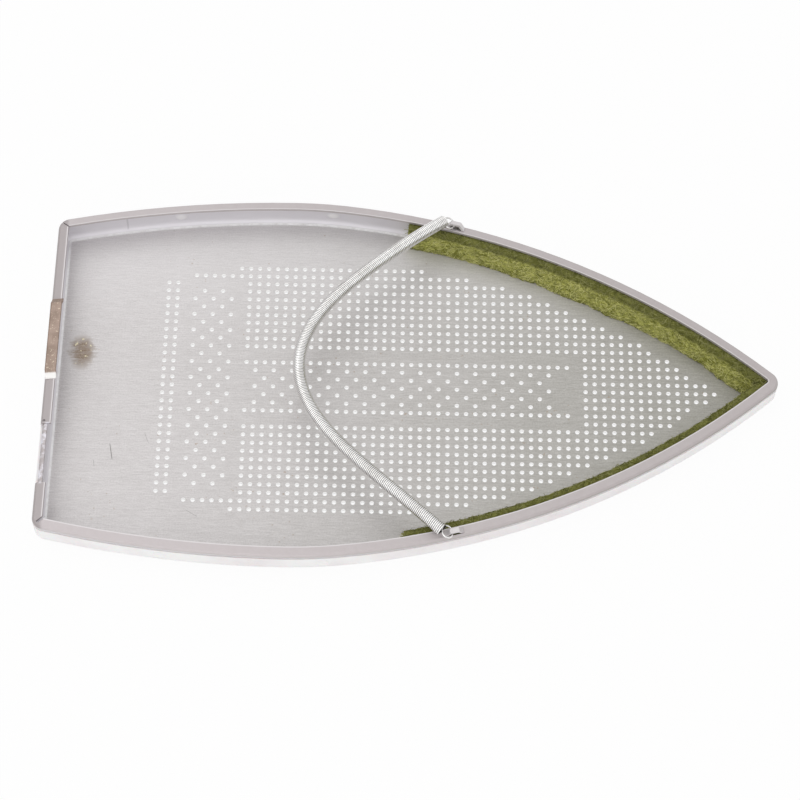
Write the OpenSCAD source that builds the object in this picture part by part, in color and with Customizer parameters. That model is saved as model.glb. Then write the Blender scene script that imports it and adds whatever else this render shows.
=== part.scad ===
// Cover for the sole of a steam iron.
// A pressed aluminium tray with a smooth white skin outside,
// perforated floor, felt round the nose and a coil spring across the heel.
// Millimetres, +X to the nose, +Z up, the sole lies on z = 0.

/* [Outline] */
// Length over the rims
cover_len = 236.8; // [200:0.2:280]
// Half width at the widest point
half_w = 65.9; // [50:0.1:80]
// Half width at the straight rear edge
rear_half_w = 56.9; // [42:0.1:72]
// Widest point, measured from the rear edge
wide_at = 79.2; // [60:0.1:100]
// Radius of the shoulder just ahead of the widest point
shoulder_r = 150.8; // [120:0.2:200]
// Length of the shoulder arc along X
shoulder_len = 16.5; // [8:0.1:30]
// Corner radius at the rear and at the nose tip
corner_r = 4.2; // [4.1:0.05:7]

/* [Section] */
// Thickness of the aluminium sheet
sheet_t = 0.8; // [0.6:0.05:1.2]
// Thickness of the outer skin
skin_t = 0.7; // [0.5:0.05:1]
// Outside radius of the bottom bend
bend_r = 4; // [3:0.1:4]
// Height of the rim at its outer edge
rim_z = 10.7; // [9:0.1:14]
// How far the lip turns inwards
lip_w = 3.3; // [2.6:0.1:3.6]
// Rise of the lip over its width
lip_rise = 0.6; // [0:0.05:1]
// Distance from the rim down to the edge of the skin
skin_drop = 1.9; // [1.5:0.1:3]

/* [Perforation] */
// Hole diameter
hole_d = 1.5; // [1:0.1:2]
// Spacing of the holes
pitch = 3; // [2.5:0.1:4]

/* [Spring] */
// Diameter of the spring wire
wire_d = 0.6; // [0.4:0.05:0.8]
// Outer diameter of the coil
coil_d = 4.2; // [3.6:0.1:4.6]
// Mean radius of the end loops
loop_r = 2; // [1.8:0.05:2.3]
// Heading of the coil at its ends, from the Y axis
end_heading = 51.5; // [40:0.5:60]

/* [Felt] */
// Height of the felt above the floor
felt_h = 8.9; // [6:0.1:8.9]
// Thickness of the felt
felt_t = 4.2; // [2:0.1:5]

/* [Hidden] */
fit_gap = 0.15;

// The angles are rounded first and the radii follow from them,
// so that neighbouring arcs end on one and the same line.
function r3(v) = round(v * 1000) / 1000;
function dir(a) = [sin(a), cos(a)];

wide_x = wide_at - cover_len / 2;
rear_x = -cover_len / 2;
flare = half_w - rear_half_w;
rear_guess = (wide_at * wide_at + flare * flare) / (2 * flare);
a_rear = r3(asin((wide_at - corner_r) / (rear_guess - corner_r)));
rear_r = corner_r + (wide_at - corner_r) / sin(a_rear);
rear_c = [wide_x, half_w - rear_r];
rear_corner = rear_c + (rear_r - corner_r) * dir(-a_rear);

a_join = r3(asin(shoulder_len / shoulder_r));
shoulder_c = [wide_x, half_w - shoulder_r];
join_p = shoulder_c + shoulder_r * dir(a_join);
tip_v = [cover_len / 2 - corner_r, 0] - join_p;
nose_guess = (tip_v * tip_v - corner_r * corner_r)
    / (-2 * (tip_v * dir(a_join) + corner_r));
guess_c = shoulder_c + (shoulder_r - nose_guess) * dir(a_join);
a_tip = r3(acos(-guess_c[1] / (nose_guess - corner_r)));
nose_r = (shoulder_c[1] + shoulder_r * cos(a_join) - corner_r * cos(a_tip))
    / (cos(a_join) - cos(a_tip));
nose_c = shoulder_c + (shoulder_r - nose_r) * dir(a_join);
tip_c = [nose_c[0] + (nose_r - corner_r) * sin(a_tip), 0];

floor_z = skin_t + sheet_t;
lip_tilt = atan(lip_rise / lip_w);
skin_top = rim_z - skin_drop;
jog_z = skin_top + 0.1;
band = bend_r + 1.2;
plate_in = bend_r + 0.6;

// Half width of the outline at x, a distance in from the edge
function edge_y(x, i) =
    x < wide_x ? rear_c[1] + sqrt(pow(rear_r - i, 2) - pow(x - rear_c[0], 2))
    : x < join_p[0] ? shoulder_c[1] + sqrt(pow(shoulder_r - i, 2) - pow(x - wide_x, 2))
    : nose_c[1] + sqrt(pow(nose_r - i, 2) - pow(x - nose_c[0], 2));
function side_slope(x) = asin((x - nose_c[0]) / nose_r);

// Position in two steps, which keeps all digits of a derived value
module shift(v) {
    translate([for (c = v) r3(c)]) translate([for (c = v) c - r3(c)]) children();
}

// Bend polylines, the same division on sheet and skin
function bend(r) = [for (i = [0:8]) [r3(bend_r - r * sin(i * 11.25)),
    r3(bend_r - r * cos(i * 11.25))]];
function back_to_front(v) = [for (i = [len(v) - 1:-1:0]) v[i]];

sheet_out = bend_r - skin_t;
sheet_in = bend_r - floor_z;
wall_in = skin_t + sheet_t;

// Sheet section: floor strip, bend, wall, joggle over the skin, rim and lip
module sheet_profile() {
    polygon(concat(
        [[band, skin_t]], bend(sheet_out),
        [[skin_t, jog_z], [0.15, jog_z + 0.35], [0, jog_z + 0.6], [0, rim_z - 0.85],
         [0.1, rim_z - 0.45], [0.35, rim_z - 0.15], [0.75, r3(rim_z + lip_rise * 0.75 / lip_w)],
         [lip_w, rim_z + lip_rise], [r3(lip_w + 0.14), r3(rim_z + lip_rise - sheet_t)],
         [1.4, r3(rim_z - sheet_t + lip_rise * 0.34)], [1, rim_z - sheet_t - 0.1],
         [0.8, rim_z - sheet_t - 0.3], [0.8, jog_z + 0.6], [0.95, jog_z + 0.3],
         [wall_in, jog_z - 0.1]],
        back_to_front(bend(sheet_in)), [[band, floor_z]]));
}

// Section where the rear lip is torn back
module torn_profile() {
    polygon(concat(
        [[band, skin_t]], bend(sheet_out),
        [[skin_t, rim_z - 0.75], [0.8, rim_z - 0.4], [1.05, rim_z - 0.15], [1.4, rim_z],
         [2.2, rim_z + 0.1], [2.3, rim_z - 0.65], [1.7, rim_z - 0.8],
         [wall_in, rim_z - 1]],
        back_to_front(bend(sheet_in)), [[band, floor_z]]));
}

// Section of the skin, open at the top
module skin_profile() {
    polygon(concat(
        [[band, 0]], bend(bend_r), [[0, skin_top], [skin_t, skin_top]],
        back_to_front(bend(sheet_out)), [[band, skin_t]]));
}

// One bend arc: the section stands at radius r and turns between two headings
module arc_run(c, r, from_a, to_a) {
    shift([c[0], c[1], 0]) rotate_extrude(start = 90 - to_a, angle = to_a - from_a, $fn = 360)
        shift([r, 0]) mirror([1, 0]) children();
}

// The section run round everything but the straight rear edge
module round_run() {
    for (m = [0, 1]) mirror([0, m, 0]) {
        arc_run(rear_c, rear_r, -a_rear, 0) children();
        arc_run(shoulder_c, shoulder_r, 0, a_join) children();
        arc_run(nose_c, nose_r, a_join, a_tip) children();
        corner_run(rear_corner, -90, -a_rear) children();
    }
    corner_run(tip_c, a_tip, 180 - a_tip) children();
}

// A corner turns about its own centre, the section ends on the axis
module corner_run(c, from_a, to_a) {
    shift([c[0], c[1], 0]) rotate_extrude(start = 90 - to_a, angle = to_a - from_a, $fn = 96)
        intersection() {
            shift([corner_r, 0]) mirror([1, 0]) children();
            square([corner_r + 1, rim_z + 5]);
        }
}

// The section along the straight rear edge between two Y values
module rear_run(y0, y1) {
    shift([rear_x, y1, 0]) rotate([90, 0, 0]) linear_extrude(y1 - y0) children();
}

// Plan of the flat floor
module floor_plan() {
    half = [for (x = [rear_x + plate_in : 6 : wide_x]) [x, edge_y(x, plate_in)],
        for (x = [wide_x + 4 : 5 : tip_c[0] - 4]) [x, edge_y(x, plate_in)]];
    nose_x = nose_c[0] + sqrt(pow(nose_r - plate_in, 2) - pow(nose_c[1], 2));
    polygon(concat(half, [[nose_x, 0]], [for (p = back_to_front(half)) [p[0], -p[1]]]));
}

// Hole grid, columns from the nose field and rows from the centre line
grid_x = 50.8;
first_col = -44;
field_c = [-25.97, -47.9];
field_r = 63.83;
function inside_field(c, n) = norm([c, n] - field_c) < field_r;
function holed(c, n) =
    c <= first_col + 1 ? n < 15
    : c < -35 ? (n == 14 || (n == 15 && c > -40) || (n == 16 && c > -36)
        || (n < 13 && c > -42 && c < -36 && (c + n) % 2 == 0))
    : c < 0 ? (n > 4 || n == 3 || (n < 3 && c > -35 && c < -1 && (c + n) % 2 == 0))
    : c == 0 ? (n > 4 || n == 3)
    : c == 1 ? n > 4
    : true;
holes = [for (c = [first_col : 16], n = [0 : 17])
    if (holed(c, n) && inside_field(c, n)) each
        (n == 0 ? [[c, 0]] : [[c, n], [c, -n]])];

// The floor in strips of whole columns, joined by the union around them
strip_cols = [-70, -33, -24, -15, -6, 3, 40];
module floor_strip(k) {
    difference() {
        intersection() {
            floor_plan();
            translate([grid_x + (strip_cols[k] - 0.5) * pitch, -half_w])
                square([(strip_cols[k + 1] - strip_cols[k]) * pitch, 2 * half_w]);
        }
        for (h = holes) if (h[0] >= strip_cols[k] && h[0] < strip_cols[k + 1])
            translate([grid_x + h[0] * pitch, h[1] * pitch]) circle(d = hole_d, $fn = 24);
    }
}

// Eyelets lanced out of the side lips for the spring
eye_x = 13.8;
eye_in = 1.65;
eye_w = 1.5;
eye_top = 2.4;
lance_l = 5.8;
module on_lip(x, i) {
    a = side_slope(x);
    shift([x, edge_y(x, i), rim_z + i * tan(lip_tilt)]) rotate([0, 0, -a])
        rotate([-lip_tilt, 0, 0]) children();
}
module eye_strip() {
    translate([0, eye_w / 2, 0]) rotate([90, 0, 0]) linear_extrude(eye_w)
        polygon([[-3.2, -0.7], [-3.2, 0], [-1.5, eye_top], [1.5, eye_top], [3.2, 0],
            [3.2, -0.7], [2.55, -0.7], [2.4, -0.2], [1.1, eye_top - sheet_t],
            [-1.1, eye_top - sheet_t], [-2.4, -0.2], [-2.55, -0.7]]);
}

// Dimples pressed inwards through skin and sheet
dimple_x = [-78.2, -27.2];
dimple_z = 6.1;
dimple_r = 5.2;
dimple_h = 0.6;
module at_dimples() {
    for (x = dimple_x, m = [0, 1]) {
        c = x < wide_x ? rear_c : shoulder_c;
        r = x < wide_x ? rear_r : shoulder_r;
        a = asin((x - wide_x) / r);
        mirror([0, m, 0]) shift([c[0], c[1], 0]) rotate([0, 0, r3(-a)])
            shift([0, r - wall_in + dimple_r - dimple_h, dimple_z]) children();
    }
}
module domes(r, start) {
    at_dimples() intersection() {
        sphere(r = r, $fn = 48);
        translate([-4, -dimple_r + dimple_h + start - 2, -4]) cube([8, 2, 8]);
    }
}

// Rear edge details, Y values
torn = [-41.6, -20.4];
pin_hole = [1.1, -19.4];
rear_y = rear_corner[1];

module tray() color([0.78, 0.77, 0.76]) {
    difference() {
        union() {
            round_run() sheet_profile();
            rear_run(-rear_y, torn[0]) sheet_profile();
            rear_run(torn[0], torn[1]) torn_profile();
            rear_run(torn[1], rear_y) sheet_profile();
            domes(dimple_r, sheet_t / 2);
        }
        at_dimples() sphere(r = dimple_r - sheet_t, $fn = 48);
        // lance windows
        for (m = [0, 1]) mirror([0, m, 0]) on_lip(eye_x, eye_in)
            cube([lance_l, eye_w + 0.1, 3], center = true);
        // mitre slits at the rear corners
        translate([rear_corner[0], rear_y, rim_z]) rotate([0, 0, 141.5])
            translate([-2.2, -0.2, -3.2]) cube([8, 0.4, 6]);
        translate([rear_corner[0], -rear_y, rim_z]) rotate([0, 0, -141.5])
            translate([-2.2, -0.5, -1.6]) cube([5.4, 1, 4]);
        translate([rear_x + pin_hole[0], pin_hole[1], rim_z - 2])
            cylinder(d = 0.9, h = 4, $fn = 24);
    }
    for (m = [0, 1]) mirror([0, m, 0]) on_lip(eye_x, eye_in) eye_strip();
    for (k = [0:5]) translate([0, 0, skin_t]) linear_extrude(sheet_t) floor_strip(k);
}

module sole_skin() color([0.93, 0.92, 0.9]) {
    difference() {
        union() {
            round_run() skin_profile();
            rear_run(-rear_y, rear_y) skin_profile();
            domes(dimple_r - sheet_t, sheet_t + skin_t / 2);
        }
        at_dimples() sphere(r = dimple_r - sheet_t - skin_t, $fn = 48);
    }
    for (k = [0:5]) linear_extrude(skin_t) floor_strip(k);
}

// Felt strip inside the nose walls, leaning against them under the lip
felt_from = -1.1;
felt_in = wall_in + fit_gap;
felt_top = floor_z + felt_h;
felt_foot = 1.2;
module felt_profile() {
    polygon([[4.2, floor_z], [felt_in + felt_t + felt_foot, floor_z],
        [felt_in + felt_t, felt_top], [3.3, felt_top - fit_gap],
        [felt_in + 0.1, felt_top - 0.65], [felt_in, felt_top - 0.9],
        [felt_in, floor_z + 2.9], [2.1, floor_z + 1.6], [2.9, floor_z + 0.6]]);
}
module felt_strip() color([0.4, 0.41, 0.2]) {
    start_a = r3(side_slope(felt_from));
    for (m = [0, 1]) mirror([0, m, 0]) intersection() {
        arc_run(nose_c, nose_r, start_a, a_tip + 4) felt_profile();
        translate([felt_from - 20, 0, 0]) cube([tip_c[0] + 1 - felt_from + 20, half_w, rim_z]);
    }
}

// Spring: heading of the coil axis s millimetres from its middle
half_coil = 75.4;
bend_len = 25.8;
apex_rise = 2.7;
hinge_x = 13.3;
hinge_z = 11.9;
hinge_y = 57.2;
loop_lean = 30;
function tanh(v) = (exp(v) - exp(-v)) / (exp(v) + exp(-v));
function heading(s) = end_heading * tanh(s / bend_len);
step = wire_d / 8;
half_n = 4 * round(half_coil / step / 4);
run = [for (i = 0, x = 0, y = 0; i <= half_n;
    x = x + step * sin(heading((i + 0.5) * step)),
    y = y + step * cos(heading((i + 0.5) * step)), i = i + 1) [x, y]];
end_c = [hinge_x - 2 * loop_r * cos(loop_lean), hinge_z + 2 * loop_r * sin(loop_lean)];
coil_past = [0.3, 0.15];
coil_y = (hinge_y + coil_past[1]) / run[half_n][1];
function axis_at(i) = let (k = min(abs(i), half_n), sg = i < 0 ? -1 : 1)
    [end_c[0] + coil_past[0] - run[half_n][0] + run[k][0], sg * run[k][1] * coil_y,
     end_c[1] + apex_rise * (1 - pow(k / half_n, 6))];
function coil_point(i, k, r) =
    let (c = axis_at(i), t = axis_at(min(i + 1, half_n)) - axis_at(max(i - 1, -half_n)),
        u = t / norm(t), n = [u[1], -u[0], 0] / norm([u[0], u[1]]), b = cross(u, n))
    c + r * (cos(45 * k) * n + sin(45 * k) * b);
rows = floor((2 * half_n - 7) / 8) * 2;
coil_pts = [for (j = [0:rows], k = [0:7])
    coil_point(4 * j + k - half_n, k, coil_d / 2 - (j % 2) * wire_d * 0.42)];
function at(j, k) = 8 * j + k;
function quad(a, b, c, d) = [[a, b, c], [a, c, d]];
coil_faces = concat(
    [for (j = [0:rows - 1], k = [0:6])
        each quad(at(j, k), at(j + 1, k), at(j + 1, k + 1), at(j, k + 1))],
    [for (j = [0:rows - 3])
        each quad(at(j, 7), at(j + 1, 7), at(j + 3, 0), at(j + 2, 0))]);
first_rim = concat([for (k = [0:7]) at(0, k)], [at(2, 0), at(1, 0)]);
last_rim = concat([for (k = [0:7]) at(rows, k)], [at(rows - 1, 7), at(rows - 2, 7)]);
n_pts = len(coil_pts);
module coil() {
    polyhedron(points = concat(coil_pts, [axis_at(4 - half_n), axis_at(4 * rows + 4 - half_n)]),
        faces = concat(coil_faces,
            [for (i = [0:9]) [n_pts, first_rim[i], first_rim[(i + 1) % 10]]],
            [for (i = [0:9]) [n_pts + 1, last_rim[(i + 1) % 10], last_rim[i]]]));
}
module end_loop() {
    translate([hinge_x, hinge_y, hinge_z]) rotate([0, loop_lean, 0]) translate([-loop_r, 0, 0])
        rotate_extrude($fn = 96) translate([loop_r, 0]) circle(d = wire_d, $fn = 24);
}
module spring() color([0.66, 0.66, 0.64]) {
    coil();
    for (m = [0, 1]) mirror([0, m, 0]) end_loop();
}

// Steel clip lying along the rear lip, its ends bent down to it
clip_y = [-4.2, 25.8];
clip_w = 3.6;
clip_t = 0.8;
clip_up = 1.9;
clip_in = 0.4;
module heel_clip() color([0.4, 0.33, 0.28]) {
    h = (clip_y[1] - clip_y[0]) / 2;
    translate([rear_x + clip_in, (clip_y[0] + clip_y[1]) / 2, rim_z + clip_in * tan(lip_tilt)])
        rotate([0, -lip_tilt, 0]) rotate([90, 0, 90]) linear_extrude(clip_w)
        polygon([[-h, 0], [-h, 0.25], [-h + 2.4, clip_up], [h - 2.4, clip_up], [h, 0.25],
            [h, 0], [h - 1.1, 0], [h - 2.7, clip_up - clip_t], [-h + 2.7, clip_up - clip_t],
            [-h + 1.1, 0]]);
}

tray();
sole_skin();
felt_strip();
spring();
heel_clip();
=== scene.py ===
"""Iron shoe cover: a used aluminium tray with a white sole skin, felt round the nose and
a coil spring that swings on two eyelets."""

import math
import random

import bmesh
import bpy
from mathutils import Matrix, Vector, noise


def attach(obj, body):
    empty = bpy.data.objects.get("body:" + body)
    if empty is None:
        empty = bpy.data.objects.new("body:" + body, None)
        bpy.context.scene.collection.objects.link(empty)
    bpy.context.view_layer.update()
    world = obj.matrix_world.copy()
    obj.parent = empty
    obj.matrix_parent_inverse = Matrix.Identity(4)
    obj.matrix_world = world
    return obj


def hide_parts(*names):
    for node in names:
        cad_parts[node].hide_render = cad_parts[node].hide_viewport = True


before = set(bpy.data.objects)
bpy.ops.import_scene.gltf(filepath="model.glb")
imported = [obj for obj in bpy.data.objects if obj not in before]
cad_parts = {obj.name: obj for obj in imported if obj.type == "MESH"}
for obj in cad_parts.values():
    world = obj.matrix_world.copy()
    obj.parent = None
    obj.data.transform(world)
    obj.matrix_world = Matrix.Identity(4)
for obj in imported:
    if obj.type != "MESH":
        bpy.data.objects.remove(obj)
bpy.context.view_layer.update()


# The studio: a white paper sweep under a pale sky, with a soft box above the heel and a
# fill light in front. The camera looks down at sixty degrees through a long lens.
MM = 0.001


class Socket:
    """A value in a material, on which Python arithmetic adds Math nodes."""

    def __init__(self, finish, output):
        self.finish, self.output = finish, output

    def math(self, operation, *values, clamp=False):
        settings = {"operation": operation, "use_clamp": clamp}
        return self.finish.node("ShaderNodeMath", settings, dict(enumerate(values)))

    def __add__(self, other):
        return self.math("ADD", self, other)

    def __sub__(self, other):
        return self.math("SUBTRACT", self, other)

    def __rsub__(self, other):
        return self.math("SUBTRACT", other, self)

    def __mul__(self, other):
        return self.math("MULTIPLY", self, other)

    def __abs__(self):
        return self.math("ABSOLUTE", self)

    __radd__, __rmul__ = __add__, __mul__

    def root(self):
        return self.math("SQRT", self)

    def limit(self):
        """Held between 0 and 1."""
        return self.math("ADD", self, 0.0, clamp=True)

    def rise(self, low, high):
        """0 below low, 1 above high, smooth between them."""
        ends = {"Value": self, "From Min": low, "From Max": high}
        return self.finish.node("ShaderNodeMapRange", {"interpolation_type": "SMOOTHSTEP"}, ends)

    def between(self, low, high, soft):
        """1 between low and high, fading out over soft."""
        return self.rise(low - soft, low) * (1 - self.rise(high, high + soft))


class Finish:
    """The nodes of one material, or of the world."""

    def __init__(self, owner):
        owner.use_nodes = True
        self.owner, self.tree = owner, owner.node_tree

    def node(self, kind, settings=None, inputs=None, out=0):
        """Adds a node, sets its settings, then fills or links its inputs."""
        made = self.tree.nodes.new(kind)
        for name, value in (settings or {}).items():
            setattr(made, name, value)
        self.fill(made, inputs or {})
        return Socket(self, made.outputs[out])

    def fill(self, node, inputs):
        for name, value in inputs.items():
            if isinstance(value, Socket):
                self.tree.links.new(value.output, node.inputs[name])
            else:
                node.inputs[name].default_value = value

    def surface(self, **inputs):
        """Fills the shader: Base_Color is its socket Base Color."""
        shader = self.tree.nodes["Principled BSDF"]
        self.fill(shader, {name.replace("_", " "): value for name, value in inputs.items()})

    def place(self):
        """The point on the piece, in millimetres, as one vector and its three numbers."""
        metres = self.node("ShaderNodeTexCoord", out="Object")
        scaled = {0: metres, "Scale": 1 / MM}
        point = self.node("ShaderNodeVectorMath", {"operation": "SCALE"}, scaled)
        axes = [self.node("ShaderNodeSeparateXYZ", None, {0: point}, axis) for axis in range(3)]
        return point, axes

    def speckle(self, point, scale, detail=2.0, roughness=0.5, stretch=(1, 1, 1)):
        """Noise from 0 to 1, with scale features a millimetre before it is stretched."""
        laid = {0: point, 1: stretch}
        laid = self.node("ShaderNodeVectorMath", {"operation": "MULTIPLY"}, laid)
        inputs = {"Vector": laid, "Scale": scale, "Detail": detail, "Roughness": roughness}
        return self.node("ShaderNodeTexNoise", None, inputs)

    def blend(self, factor, first, second):
        """A colour between first and second."""
        inputs = {0: factor, 6: first, 7: second}
        return self.node("ShaderNodeMix", {"data_type": "RGBA"}, inputs, 2)

    def coats(self, ground, *coats):
        """The ground colour under coats, each a cover from 0 to 1 and its colour."""
        for cover, tone in coats:
            ground = self.blend(cover, ground, tone)
        return ground

    def relief(self, height, strength):
        """A bump whose height is in millimetres."""
        inputs = {"Strength": strength, "Distance": 1.0 * MM, "Height": height}
        return self.node("ShaderNodeBump", None, inputs)

    def dress(self, *pieces):
        for piece in pieces:
            piece.data.materials.clear()
            piece.data.materials.append(self.owner)


def new_finish(name):
    return Finish(bpy.data.materials.new(name))


def colour(red, green, blue):
    """A colour as a picture editor shows it, 0 to 255, for a shader."""
    return (*(((c / 255 + 0.055) / 1.055) ** 2.4 for c in (red, green, blue)), 1.0)


def new_piece(name, shape):
    """The finished shape, as an object in the scene."""
    mesh = bpy.data.meshes.new(name)
    shape.to_mesh(mesh)
    shape.free()
    piece = bpy.data.objects.new(name, mesh)
    scene.collection.objects.link(piece)
    return piece


scene = bpy.context.scene
scene.view_settings.view_transform = "Standard"

CAMERA_PLACE = Vector((-7.80, -411.47, 732.98))
heading, height, roll = math.radians(-0.573), math.radians(60.894), math.radians(1.580)
lens = bpy.data.cameras.new("photo_camera")
lens.sensor_width = 36
lens.lens = 115.785
camera = bpy.data.objects.new("photo_camera", lens)
scene.collection.objects.link(camera)
camera.matrix_world = (
    Matrix.Translation(CAMERA_PLACE * MM)
    @ Matrix.Rotation(heading, 4, "Z")
    @ Matrix.Rotation(math.pi / 2 - height, 4, "X")
    @ Matrix.Rotation(roll, 4, "Z")
)
scene.camera = camera

SWEEP_REACH = 3
SWEEP_DROP = 0.2
shape = bmesh.new()
bmesh.ops.create_grid(shape, x_segments=1, y_segments=1, size=SWEEP_REACH)
bmesh.ops.translate(shape, verts=shape.verts, vec=(0, 0, -SWEEP_DROP * MM))
sweep = new_piece("sweep", shape)

paper = new_finish("white_paper")
paper.surface(Base_Color=colour(236, 235, 234), Roughness=0.9)
seen = paper.node("ShaderNodeLightPath", out="Is Camera Ray")
mirrored = paper.node("ShaderNodeLightPath", out="Is Glossy Ray")
glow = paper.node("ShaderNodeEmission", None, {"Color": (1, 1, 1, 1), "Strength": 1.0})
lit = Socket(paper, paper.tree.nodes["Principled BSDF"].outputs[0])
shown = (seen * 0.94 + mirrored * 0.9).limit()
mixed = paper.node("ShaderNodeMixShader", None, {0: shown, 1: lit, 2: glow})
paper.fill(paper.tree.nodes["Material Output"], {"Surface": mixed})
paper.dress(sweep)

ZENITH, HORIZON, BACKGROUND = 0.88, 0.6, 1.0
sky = Finish(bpy.data.worlds.new("studio"))
scene.world = sky.owner
direction = sky.node("ShaderNodeTexCoord", out="Generated")
upward = sky.node("ShaderNodeSeparateXYZ", None, {0: direction}, 2)
tent = HORIZON + (ZENITH - HORIZON) * upward.rise(0.05, 0.55)
seen = sky.node("ShaderNodeLightPath", out="Is Camera Ray")
strength = tent + (BACKGROUND - tent) * seen
sky.fill(sky.tree.nodes["Background"], {"Color": (1, 1, 1, 1), "Strength": strength})

for name, size, power, spot in (
    ("soft_box", 1.6, 4.2, (-0.7, 0.5, 1.3)),
    ("front_fill", 1.2, 3.6, (-0.3, -1.3, 0.7)),
):
    lamp = bpy.data.lights.new(name, "AREA")
    lamp.shape, lamp.size, lamp.energy = "SQUARE", size, power
    holder = bpy.data.objects.new(name, lamp)
    holder.location = spot
    holder.rotation_euler = (-Vector(spot)).to_track_quat("-Z", "Y").to_euler()
    scene.collection.objects.link(holder)


# The tray: 0.8 mm aluminium sheet, pressed, punched and mill finished, its rolling grain
# along the sole. Years of use left a brown heat mark, scratches and a torn rear lip.
NOSE_RADIUS = 252.591
NOSE_CENTRE = Vector((-50.338, -186.080, 0))
HOLES_REACH = 243
FLOOR_TOP = 1.5
LIP_TOP = 11.3
REAR_END = -118.4
DIMPLES_X, DIMPLE_HEIGHT = (-78.2, -27.2), 6.1
HEAT_X, HEAT_Y = -108.2, 11.6
SEAM_X = -96.2

# Each scratch: the x and y of its middle, its angle, half length, half width and depth.
SCRATCHES = (
    (-96.3, -25.2, 101, 3.4, 0.14, 0.9),
    (-101.5, -29.6, 98, 1.4, 0.10, 0.6),
    (-85.2, -20.0, 112, 2.2, 0.10, 0.45),
    (-69.3, -46.8, -31, 2.4, 0.10, 0.5),
    (-93.0, 31.0, 20, 2.0, 0.08, 0.35),
    (70.0, -12.0, 64, 2.4, 0.08, 0.35),
    (-22.0, 47.5, -12, 3.0, 0.07, 0.3),
)

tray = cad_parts["tray"]
alu = new_finish("rolled_aluminium")
point, (x, y, z) = alu.place()
on_floor = z.between(FLOOR_TOP - 0.1, FLOOR_TOP + 0.06, 0.04)
on_wall = z.between(2.0, 9.6, 0.3)
on_lip = z.rise(9.9, 10.4)
at_rear = 1 - x.rise(-116.0, -114.6)


def punched(x, y, z, top):
    """The walls of the steam holes: below top, and inside the outline of the tray."""
    out_x, out_y = x - NOSE_CENTRE.x, abs(y) - NOSE_CENTRE.y
    reach = (out_x * out_x + out_y * out_y).root()
    inside = 1 - reach.rise(HOLES_REACH, HOLES_REACH + 2)
    return (1 - z.rise(top - 0.04, top)) * z.rise(0.01, 0.03) * inside


grain = alu.speckle(point, 1.0, 3.0, 0.6, (0.22, 3.4, 1.0))
fine_grain = alu.speckle(point, 1.0, 2.0, 0.6, (0.6, 9.0, 1.0))
cloud = alu.speckle(point, 0.035, 3.0, 0.55)
mottle = alu.speckle(point, 0.5, 4.0, 0.65)
dust = alu.speckle(point, 2.0, 2.0, 0.6)

# Painted shade: the sheet is painted darker and greener from the heel towards the nose.
shade_to_nose = (x + (cloud - 0.5) * 50).rise(-110, 110)
streaks = ((grain - 0.5) * 1.2 + (fine_grain - 0.5) * 1.1 + (dust - 0.5) * 1.1 + 0.5).limit()
rolled = alu.blend(streaks, colour(138, 134, 132), colour(240, 238, 238))
lip_grey = alu.blend(mottle, colour(190, 181, 182), colour(204, 197, 198))
# Painted highlight: a bright line along the bend at the foot of the walls.
fold_highlight = z.between(FLOOR_TOP + 0.1, FLOOR_TOP + 0.3, 0.06) * (mottle * 1.8 - 0.1).limit()
# Painted highlight: a bright line along the lip's inner edge.
lip_edge_highlight = z.rise(LIP_TOP - 0.08, LIP_TOP - 0.04)
# Painted shade: a mottled darker band on the walls just under the lip.
under_lip_shade = z.between(8.4, 9.3, 0.5) * (mottle - 0.2).rise(0.2, 0.5)
seam = x.between(SEAM_X - 0.2, SEAM_X + 0.2, 0.15) * z.between(2.5, 9.6, 0.3) * y.rise(20, 21)

# Painted highlights: a bright glint on each dimple in the side walls.
dimple_glints = 0.0
for dimple_x in DIMPLES_X:
    off_x, off_z = x - dimple_x, z - DIMPLE_HEIGHT
    dimple_glints = 1 - (off_x * off_x * 0.2 + off_z * off_z * 0.3).rise(0.1, 1.0) + dimple_glints
dimple_glints = dimple_glints * on_wall * abs(y).rise(50, 51)

off_x = x - HEAT_X + (mottle - 0.5) * 4 + (grain - 0.5) * 5
off_y = y - HEAT_Y + (cloud - 0.5) * 3
heat = (1 - (off_x * off_x * 0.07 + off_y * off_y * 0.03).rise(0.0, 1.7)) * on_floor
drops = alu.speckle(point, 1.1, 2.0, 0.5, (1.0, 0.7, 1.0)).rise(0.62, 0.68)
spatter = drops * heat.rise(0.35, 0.7)
rust_spots = alu.speckle(point, 0.9, 1.0, 0.5).rise(0.73, 0.76)
rust = rust_spots * alu.speckle(point, 0.06, 0.0).rise(0.5, 0.62) * on_floor
torn = x.between(REAR_END - 0.2, -115.6, 0.3) * y.between(-41.8, -20.2, 0.4) * z.rise(8.8, 9.6)

scored = 0.0
for mark_x, mark_y, angle, half_length, half_width, depth in SCRATCHES:
    c, s = math.cos(math.radians(angle)), math.sin(math.radians(angle))
    along = abs((x - mark_x) * c + (y - mark_y) * s).rise(half_length * 0.7, half_length)
    across = abs((y - mark_y) * c - (x - mark_x) * s).rise(half_width * 0.4, half_width)
    scored = (1 - along) * (1 - across) * depth + scored
scored = scored * on_floor

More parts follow.
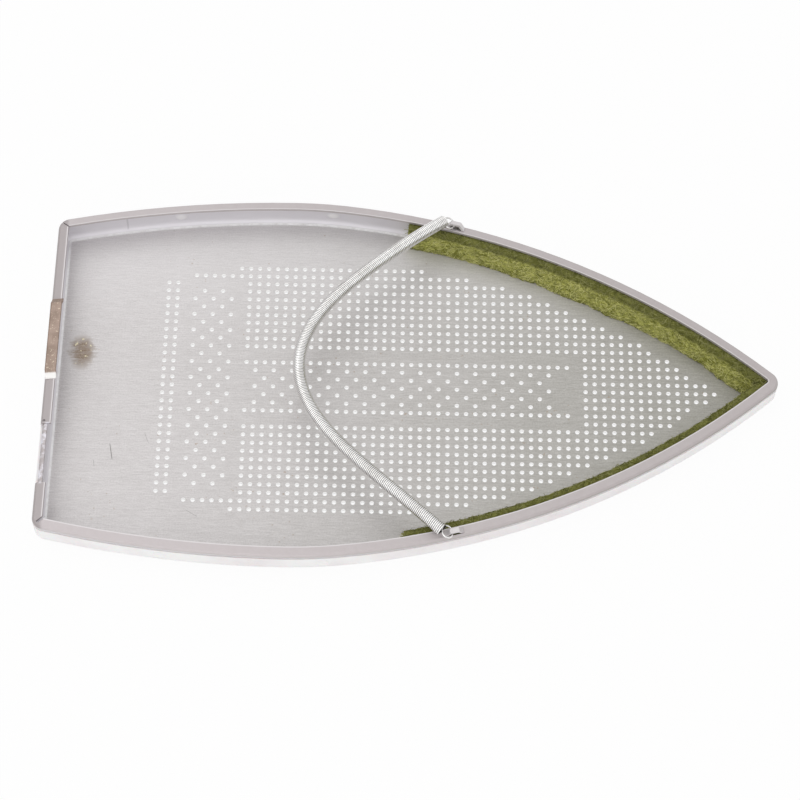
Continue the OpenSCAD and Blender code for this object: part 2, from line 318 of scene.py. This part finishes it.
holes = punched(x, y, z, FLOOR_TOP - 0.04)
sheet = alu.coats(
    alu.blend(shade_to_nose, colour(212, 208, 208), colour(154, 152, 142)),
    (on_floor * 0.36, rolled),
    # Painted light: the floor is painted paler towards the far wall, as the wall's reflection.
    (on_floor * y.rise(12, 62) * 0.3, colour(240, 238, 240)),
    # Painted light: the walls are painted paler than the rest of the sheet.
    (on_wall * 0.9, colour(226, 223, 228)),
    (on_lip * 0.85, lip_grey),
    (on_lip * at_rear * 0.8, colour(166, 159, 159)),
    ((fold_highlight + lip_edge_highlight * 0.45).limit(), colour(244, 243, 244)),
    ((dimple_glints * 0.5).limit(), colour(255, 254, 252)),
    ((heat * (0.4 + streaks * 0.7)).limit(), colour(124, 100, 72)),
    (spatter * 0.8, colour(236, 228, 196)),
    (scored.limit(), colour(96, 92, 90)),
    (rust * 0.4, colour(150, 116, 74)),
    (torn * (mottle - 0.1).rise(0.3, 0.6), colour(226, 224, 232)),
    (under_lip_shade * 0.2 + seam * 0.3, colour(150, 148, 150)),
    (holes, colour(248, 247, 246)),
)

polish = 0.5 + (grain - 0.5) * 0.16 + (mottle - 0.5) * 0.1
polish = polish - torn * 0.15 - holes * 0.35 - on_wall * 0.12
crinkle = z.between(1.7, 3.0, 0.4) * alu.speckle(point, 0.9, 2.0, 0.6)
rolling = grain * 0.012 + fine_grain * 0.006
rough = crinkle * 0.05 + seam * 0.06 - scored * 0.03 + torn * mottle * 0.25
alu.surface(
    Base_Color=sheet,
    Metallic=(0.55 + holes * 0.4 - on_wall * 0.2).limit(),
    Roughness=polish.limit(),
    Normal=alu.relief(rolling + rough, 0.5),
)
alu.dress(tray)


# The sole skin: a slick white sheet bonded under the tray and up its sides. It takes
# long faint rub marks along the sole and greys a little at the edges.
SKIN_TOP = 0.7
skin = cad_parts["sole_skin"]
slick = new_finish("slick_white_skin")
point, (x, y, z) = slick.place()
rub = slick.speckle(point, 1.0, 3.0, 0.6, (0.05, 1.4, 1.0))
haze = slick.speckle(point, 0.05, 3.0, 0.6)
pits = slick.speckle(point, 1.6, 2.0, 0.5)
under = 1 - z.rise(0.05, 0.6)
scuff = (haze * 0.6 + pits * 0.5).rise(0.66, 0.74) * 0.3
holes = punched(x, y, z, SKIN_TOP - 0.02)
white = slick.coats(
    slick.blend(haze.rise(0.35, 0.7), colour(248, 246, 246), colour(240, 234, 235)),
    (under * rub.rise(0.56, 0.72) * 0.35, colour(196, 190, 182)),
    (z.rise(8.3, 8.8) * 0.35, colour(205, 198, 196)),
    (scuff, colour(214, 207, 205)),
    (holes, colour(250, 250, 250)),
)
slick.surface(
    Base_Color=white,
    Metallic=holes * 0.8,
    Roughness=(0.4 + (pits - 0.5) * 0.2 + scuff * 0.4 - holes * 0.3).limit(),
    Normal=slick.relief(rub * 0.02 + pits * 0.015, 0.4),
    Subsurface_Weight=0.08,
    Subsurface_Scale=2 * MM,
)
slick.dress(skin)


# The felt: two strips of olive wool felt, four millimetres thick, glued inside the nose
# walls from the eyelets to the tip. They lean on the wall and spread at the foot.
FELT_START, FELT_END = math.radians(11.24), math.radians(41.6)
FELT_STEPS = 150
FELT_TIP = 115.2

# The strip's section: how far in from the tray's outline, and how high.
FELT_SECTION = (
    (1.75, 4.6), (1.7, 7.0), (1.8, 9.2), (2.3, 9.85), (3.3, 10.2), (4.6, 10.42),
    (5.5, 10.3), (5.95, 9.8), (6.15, 8.2), (6.5, 6.0), (6.9, 4.0), (7.3, 2.4),
    (7.35, 1.62), (6.4, 1.52), (5.2, 1.52), (4.2, 1.54), (3.2, 2.0), (2.3, 3.1),
)

# Where its foot spreads furthest: x, by how much, and over what length.
FELT_BULGES = ((55, 1.1, 24), (104, 0.9, 10))


def ramp(value, start, end):
    """0 at start, 1 at end, and held there beyond them."""
    return max(0.0, min(1.0, (value - start) / (end - start)))


def in_fixed_order(shape):
    """The same shape, rebuilt, because a spin leaves its faces in a new order each run."""
    shape.verts.index_update()
    loops = []
    for face in shape.faces:
        loop = [v.index for v in face.verts]
        first = loop.index(min(loop))
        loops.append(loop[first:] + loop[:first])
    ordered = bmesh.new()
    verts = [ordered.verts.new(v.co) for v in shape.verts]
    for loop in sorted(loops):
        ordered.faces.new([verts[i] for i in loop])
    shape.free()
    return ordered


def felt_strip(name, side):
    """One strip: its section is spun round the centre of the nose arc, then roughened."""
    shape = bmesh.new()
    start = math.pi / 2 - FELT_START
    corners = []
    for inset, up in FELT_SECTION:
        r = NOSE_RADIUS - inset
        corners.append(shape.verts.new((r * math.cos(start), r * math.sin(start), up)))
    face = shape.faces.new(corners)
    bmesh.ops.spin(
        shape,
        geom=[*face.verts, *face.edges, face],
        cent=(0, 0, 0),
        axis=(0, 0, 1),
        angle=FELT_START - FELT_END,
        steps=FELT_STEPS,
    )
    shape = in_fixed_order(shape)
    bmesh.ops.translate(shape, verts=shape.verts, vec=NOSE_CENTRE)
    long_edges = [e for e in shape.edges if abs(e.verts[0].co.z - e.verts[1].co.z) > 0.9]
    bmesh.ops.subdivide_edges(shape, edges=long_edges, cuts=1, use_grid_fill=True)
    bmesh.ops.recalc_face_normals(shape, faces=shape.faces)
    shape.normal_update()
    for v in shape.verts:
        from_centre = v.co.xy - NOSE_CENTRE.xy
        inset = NOSE_RADIUS - from_centre.length
        spread = 0.0
        for at, most, wide in FELT_BULGES:
            spread += most * math.exp(-(((v.co.x - at) / wide) ** 2))
        spread += 0.5 * noise.noise(Vector((v.co.x * 0.13, side * 7.0, 0)))
        spread += 0.4 * noise.noise(Vector((v.co.x * 0.55, side, 0)))
        foot = ramp(v.co.z, 8.5, 1.5) * ramp(inset, 4.5, 6.5)
        inward = from_centre.normalized() * -spread * foot
        v.co.x += inward.x
        v.co.y += inward.y
        free = ramp(inset, 3.2, 4.0) * ramp(v.co.z, 1.6, 2.6)
        lumps = noise.noise(v.co * 0.9 + Vector((0, 0, side * 9.0))) * 0.22
        fuzz = noise.noise(v.co * 2.6) * 0.12
        v.co += v.normal * (lumps + fuzz) * free
    middle = bmesh.ops.bisect_plane(
        shape,
        geom=[*shape.verts, *shape.edges, *shape.faces],
        plane_co=(0, 0, 0),
        plane_no=(0, -1, 0),
        clear_outer=True,
    )
    cut_edges = [e for e in middle["geom_cut"] if isinstance(e, bmesh.types.BMEdge)]
    bmesh.ops.contextual_create(shape, geom=cut_edges)
    bmesh.ops.bisect_plane(
        shape,
        geom=[*shape.verts, *shape.edges, *shape.faces],
        plane_co=(FELT_TIP, 0, 0),
        plane_no=(1, 0, 0),
        clear_outer=True,
    )
    bmesh.ops.scale(shape, vec=(MM, side * MM, MM), verts=shape.verts)
    bmesh.ops.recalc_face_normals(shape, faces=shape.faces)
    strip = new_piece(name, shape)
    strip.data.shade_smooth()
    rounded = strip.modifiers.new("rounded", "SUBSURF")
    rounded.levels = rounded.render_levels = 1
    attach(strip, "shoe")
    return strip


felt_far = felt_strip("felt_far", 1)
felt_near = felt_strip("felt_near", -1)
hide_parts("felt_strip")
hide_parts("felt_strip")

PILE_PER_STRIP = 3200
TUFT_LENGTH = 3.0
TUFT_THICKNESS = 0.17
TUFT_BOW = 3.2
PILE_FOOT = 1.53

tuft_mesh = bpy.data.meshes.new("tuft")
shape = bmesh.new()
stem = bmesh.ops.create_circle(
    shape, segments=3, radius=TUFT_THICKNESS / 2, matrix=Matrix.Rotation(math.pi / 2, 4, "Y")
)
bmesh.ops.spin(
    shape,
    geom=[*stem["verts"], *shape.edges],
    cent=(0, 0, -TUFT_BOW),
    axis=(0, 1, 0),
    angle=TUFT_LENGTH / TUFT_BOW,
    steps=3,
)
shape = in_fixed_order(shape)
bmesh.ops.holes_fill(shape, edges=[e for e in shape.edges if e.is_boundary], sides=3)
bmesh.ops.recalc_face_normals(shape, faces=shape.faces)
level = Matrix.Rotation(-TUFT_LENGTH / (2 * TUFT_BOW), 3, "Y")
bmesh.ops.rotate(shape, verts=shape.verts, matrix=level)
centre = sum((v.co for v in shape.verts), Vector()) / len(shape.verts)
bmesh.ops.translate(shape, verts=shape.verts, vec=-centre)
shape.to_mesh(tuft_mesh)
shape.free()
tuft_mesh.attributes.new("pile_tone", "FLOAT", "POINT")


def felt_pile(name, strip, side):
    """Loose tufts of wool that lie on the open face of a strip, most of them aslant."""
    chance = random.Random(40 + side)
    body = bmesh.new()
    body.from_mesh(strip.data)
    body.normal_update()
    faces, shares = [], []
    for face in body.faces:
        middle = face.calc_center_median() / MM
        inset = NOSE_RADIUS - (Vector((middle.x, abs(middle.y))) - NOSE_CENTRE.xy).length
        # The open face is clear of the wall and the floor, and its foot is the shaggiest.
        if inset > 3.6 and middle.z > 1.7 and face.normal.z > -0.3:
            faces.append(face)
            shares.append(face.calc_area() * (2.2 if middle.z < 3.4 else 1))
    shape = bmesh.new()
    for face in chance.choices(faces, shares, k=PILE_PER_STRIP):
        corner = [v.co for v in face.verts]
        low = corner[0].lerp(corner[1], chance.random())
        high = corner[2].lerp(corner[-1], chance.random())
        spot = low.lerp(high, chance.random())
        up = face.normal
        along = up.cross(Vector((0, 0, 1))).normalized()
        slant = chance.choice((-0.6, 0.5, 0.9)) + chance.gauss(0, 0.45)
        along = Matrix.Rotation(slant, 3, up) @ along
        turn = Matrix((along, up.cross(along), up)).transposed().to_4x4()
        size = MM * chance.uniform(0.55, 1.15)
        spot = spot + up * MM * 0.02
        spot.z = max(spot.z, 1.62 * MM)
        tuft = tuft_mesh.copy()
        tuft.transform(Matrix.Translation(spot) @ turn @ Matrix.Scale(size, 4))
        tone = chance.uniform(0.1, 1.0)
        tuft.attributes["pile_tone"].data.foreach_set("value", [tone] * len(tuft.vertices))
        shape.from_mesh(tuft)
        bpy.data.meshes.remove(tuft)
    body.free()
    for v in shape.verts:
        v.co.z = max(v.co.z, PILE_FOOT * MM)
    pile = new_piece(name, shape)
    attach(pile, "shoe")
    return pile


pile_far = felt_pile("felt_pile_far", felt_far, 1)
pile_near = felt_pile("felt_pile_near", felt_near, -1)
bpy.data.meshes.remove(tuft_mesh)

# Four lays of wool strands, each an angle and how much of it shows.
STRANDS = ((-22, 0.5), (14, 0.45), (-62, 0.4), (70, 0.35))
wool = new_finish("olive_wool_felt")
point, (x, y, z) = wool.place()
matted = wool.speckle(point, 0.55, 5.0, 0.7, (0.6, 1.0, 1.0))
strands = 0.0
for angle, share in STRANDS:
    c, s = math.cos(math.radians(angle)), math.sin(math.radians(angle))
    laid = {0: (x * c + y * s) * 0.3, 1: (y * c - x * s) * 2.6, 2: z * 2.2}
    hair = wool.speckle(wool.node("ShaderNodeCombineXYZ", None, laid), 1.0, 2.0, 0.6)
    strands = hair.rise(0.5, 0.72) * share + strands
tone = (matted * 0.9 + strands * 0.55 - 0.18).limit().rise(0.1, 0.62)
# Painted shade: the top of the felt, under the lip, is painted dark olive.
lip_shade_on_felt = (z.rise(8.2, 9.9) * (0.55 + matted * 0.7)).limit() * 0.75
strip_green = wool.coats(
    wool.blend(tone, colour(112, 114, 36), colour(194, 194, 108)),
    (strands.rise(0.55, 1.0) * 0.6, colour(222, 220, 160)),
    (lip_shade_on_felt, colour(70, 72, 20)),
)
pile_tone = wool.node("ShaderNodeAttribute", {"attribute_name": "pile_tone"}, out="Fac")
tuft_green = wool.coats(
    wool.blend(pile_tone.rise(0.1, 1.0), colour(122, 124, 36), colour(232, 230, 158)),
    (lip_shade_on_felt, colour(78, 80, 24)),
)
wool.surface(
    Base_Color=wool.blend(pile_tone.rise(0.0, 0.05), strip_green, tuft_green),
    Roughness=0.95,
    Normal=wool.relief(matted * 0.3 + strands * 0.2, 0.9),
)
wool.dress(felt_far, felt_near, pile_far, pile_near)


# The heel spring: 0.6 mm bright steel wire wound close into a 4.2 mm coil, bowed across
# the tray. The last turn at each end is bent up into a ring, which passes its eyelet.
WIRE = 0.58
WINDING_RADIUS = 1.8
DOUBLINGS = 8
TURN_STEPS = 18
HALF_COIL = 75.4
END_HEADING = math.radians(51.5)
BEND_LENGTH = 25.8
COIL_END = Vector((10.1359, 57.35, 13.9))
APEX_RISE = 2.7
AXIS_STEP = 0.05
RING_RADIUS = 2.0
RING_LEAN = math.radians(30)
HINGE = Vector((13.3, 57.2, 11.9))

half_bow = [Vector((0, 0))]
for i in range(round(HALF_COIL / AXIS_STEP)):
    turned = END_HEADING * math.tanh((i + 0.5) * AXIS_STEP / BEND_LENGTH)
    half_bow.append(half_bow[-1] + Vector((math.sin(turned), math.cos(turned))) * AXIS_STEP)


def coil_axis(s):
    """Where the middle of the coil is, s millimetres along from the centre of its bow."""
    share = min(1.0, abs(s) / HALF_COIL)
    bow = half_bow[min(len(half_bow) - 1, round(abs(s) / AXIS_STEP))]
    side = 1 if s > 0 else -1
    x = COIL_END.x - half_bow[-1].x + bow.x
    y = side * bow.y * COIL_END.y / half_bow[-1].y
    return Vector((x, y, COIL_END.z + APEX_RISE * (1 - share**6)))


def wire_round(shape, place):
    """A round cut through the wire at place: its points and its edges."""
    upright = Matrix.Rotation(math.pi / 2, 4, "X")
    cut = bmesh.ops.create_circle(shape, segments=8, radius=WIRE / 2, matrix=upright)["verts"]
    bmesh.ops.translate(shape, verts=cut, vec=place)
    return cut, [*dict.fromkeys(e for v in cut for e in v.link_edges)]


wound = HALF_COIL - WIRE / 2
pitch = 2 * wound / 2**DOUBLINGS
shape = bmesh.new()
cut, cut_edges = wire_round(shape, (WINDING_RADIUS, 0, -wound))
bmesh.ops.spin(
    shape,
    geom=[*cut, *cut_edges],
    cent=(0, 0, 0),
    axis=(0, 0, 1),
    dvec=(0, 0, pitch / TURN_STEPS),
    angle=2 * math.pi,
    steps=TURN_STEPS,
)
shape = in_fixed_order(shape)
for doubling in range(DOUBLINGS):
    more = bmesh.ops.duplicate(shape, geom=[*shape.verts, *shape.edges, *shape.faces])["geom"]
    added = [v for v in more if isinstance(v, bmesh.types.BMVert)]
    bmesh.ops.translate(shape, verts=added, vec=(0, 0, pitch * 2**doubling))
bmesh.ops.remove_doubles(shape, verts=shape.verts, dist=0.001)
bmesh.ops.holes_fill(shape, edges=[e for e in shape.edges if e.is_boundary], sides=8)
outward = shape.verts.layers.float.new("outward")
for v in shape.verts:
    v[outward] = v.co.xy.length - WINDING_RADIUS
    s = max(-HALF_COIL, min(HALF_COIL, v.co.z))
    back, front = coil_axis(max(-HALF_COIL, s - 0.2)), coil_axis(min(HALF_COIL, s + 0.2))
    ahead = (front - back).normalized()
    aside = Vector((ahead.y, -ahead.x, 0)).normalized()
    across = aside * v.co.x + ahead.cross(aside) * v.co.y
    v.co = coil_axis(s) + ahead * (v.co.z - s) + across

ring = bmesh.new()
cut, cut_edges = wire_round(ring, (RING_RADIUS, 0, 0))
bmesh.ops.spin(
    ring,
    geom=[*cut, *cut_edges],
    cent=(0, 0, 0),
    axis=(0, 0, 1),
    angle=2 * math.pi,
    steps=40,
    use_merge=True,
)
ring = in_fixed_order(ring)
outward = ring.verts.layers.float.new("outward")
for v in ring.verts:
    v[outward] = WIRE / 2
ring_mesh = bpy.data.meshes.new("ring")
ring.to_mesh(ring_mesh)
ring.free()
lean = Matrix.Rotation(RING_LEAN, 4, "Y") @ Matrix.Translation((-RING_RADIUS, 0, 0))
for side in (1, -1):
    hinge = Matrix.Translation((HINGE.x, side * HINGE.y, HINGE.z))
    hooked = ring_mesh.copy()
    hooked.transform(hinge @ lean)
    shape.from_mesh(hooked)
    bpy.data.meshes.remove(hooked)
bpy.data.meshes.remove(ring_mesh)

bmesh.ops.recalc_face_normals(shape, faces=shape.faces)
bmesh.ops.scale(shape, vec=(MM, MM, MM), verts=shape.verts)
spring = new_piece("heel_spring_wire", shape)
spring.data.shade_smooth()
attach(spring, "heel_spring")
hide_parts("spring")

steel = new_finish("bright_spring_wire")
point, (x, y, z) = steel.place()
drawn = steel.speckle(point, 3.0, 2.0, 0.6)
tarnish = steel.speckle(point, 0.12, 3.0, 0.6)
proud = steel.node("ShaderNodeAttribute", {"attribute_name": "outward"}, out="Fac")
wire_tone_and_shade = steel.coats(
    steel.blend(tarnish.rise(0.4, 0.75) * 0.4, colour(248, 247, 246), colour(214, 211, 207)),
    # Painted shade: the wire is painted dark on its inner side, in the crevices between
    # windings.
    (1 - proud.rise(0.0, 0.19), colour(58, 56, 53)),
)
steel.surface(
    Base_Color=wire_tone_and_shade,
    Metallic=1.0,
    Roughness=(0.2 + (drawn - 0.5) * 0.15).limit(),
    Normal=steel.relief(drawn * 0.02, 0.4),
)
steel.dress(spring)


# The heel clip: a strip of tarnished spring steel lying along the rear lip, bent down at
# both ends. It is brown, with chipped specks, a painted highlight on its near end and
# painted shade along its outer edge.
END_HIGHLIGHT_Y = -2.9
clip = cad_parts["heel_clip"]
brown = new_finish("tarnished_clip_steel")
point, (x, y, z) = brown.place()
cast = brown.speckle(point, 0.25, 3.0, 0.6)
specks = brown.speckle(point, 2.2, 1.0, 0.5).rise(0.68, 0.73)
dots = brown.speckle(point, 1.5, 0.0, 0.5).rise(0.72, 0.75)
# Painted shade: the clip's outer edge, where it turns down over the lip, is painted darker.
outer_edge_shade = 1 - (x - REAR_END).rise(0.1, 0.7)
# Painted highlight: the bent near end is painted almost white.
end_highlight = 1 - y.rise(END_HIGHLIGHT_Y, END_HIGHLIGHT_Y + 0.6)
tone = brown.coats(
    brown.blend(cast.rise(0.3, 0.7), colour(172, 152, 140), colour(150, 132, 120)),
    ((specks * 0.5 + dots * 0.6).limit(), colour(222, 208, 186)),
    (outer_edge_shade * 0.5, colour(110, 92, 82)),
    (end_highlight, colour(244, 242, 240)),
)
brown.surface(
    Base_Color=tone,
    Metallic=0.6,
    Roughness=(0.5 - specks * 0.15).limit(),
    Normal=brown.relief(cast * 0.05 + specks * 0.02, 0.4),
)
brown.dress(clip)
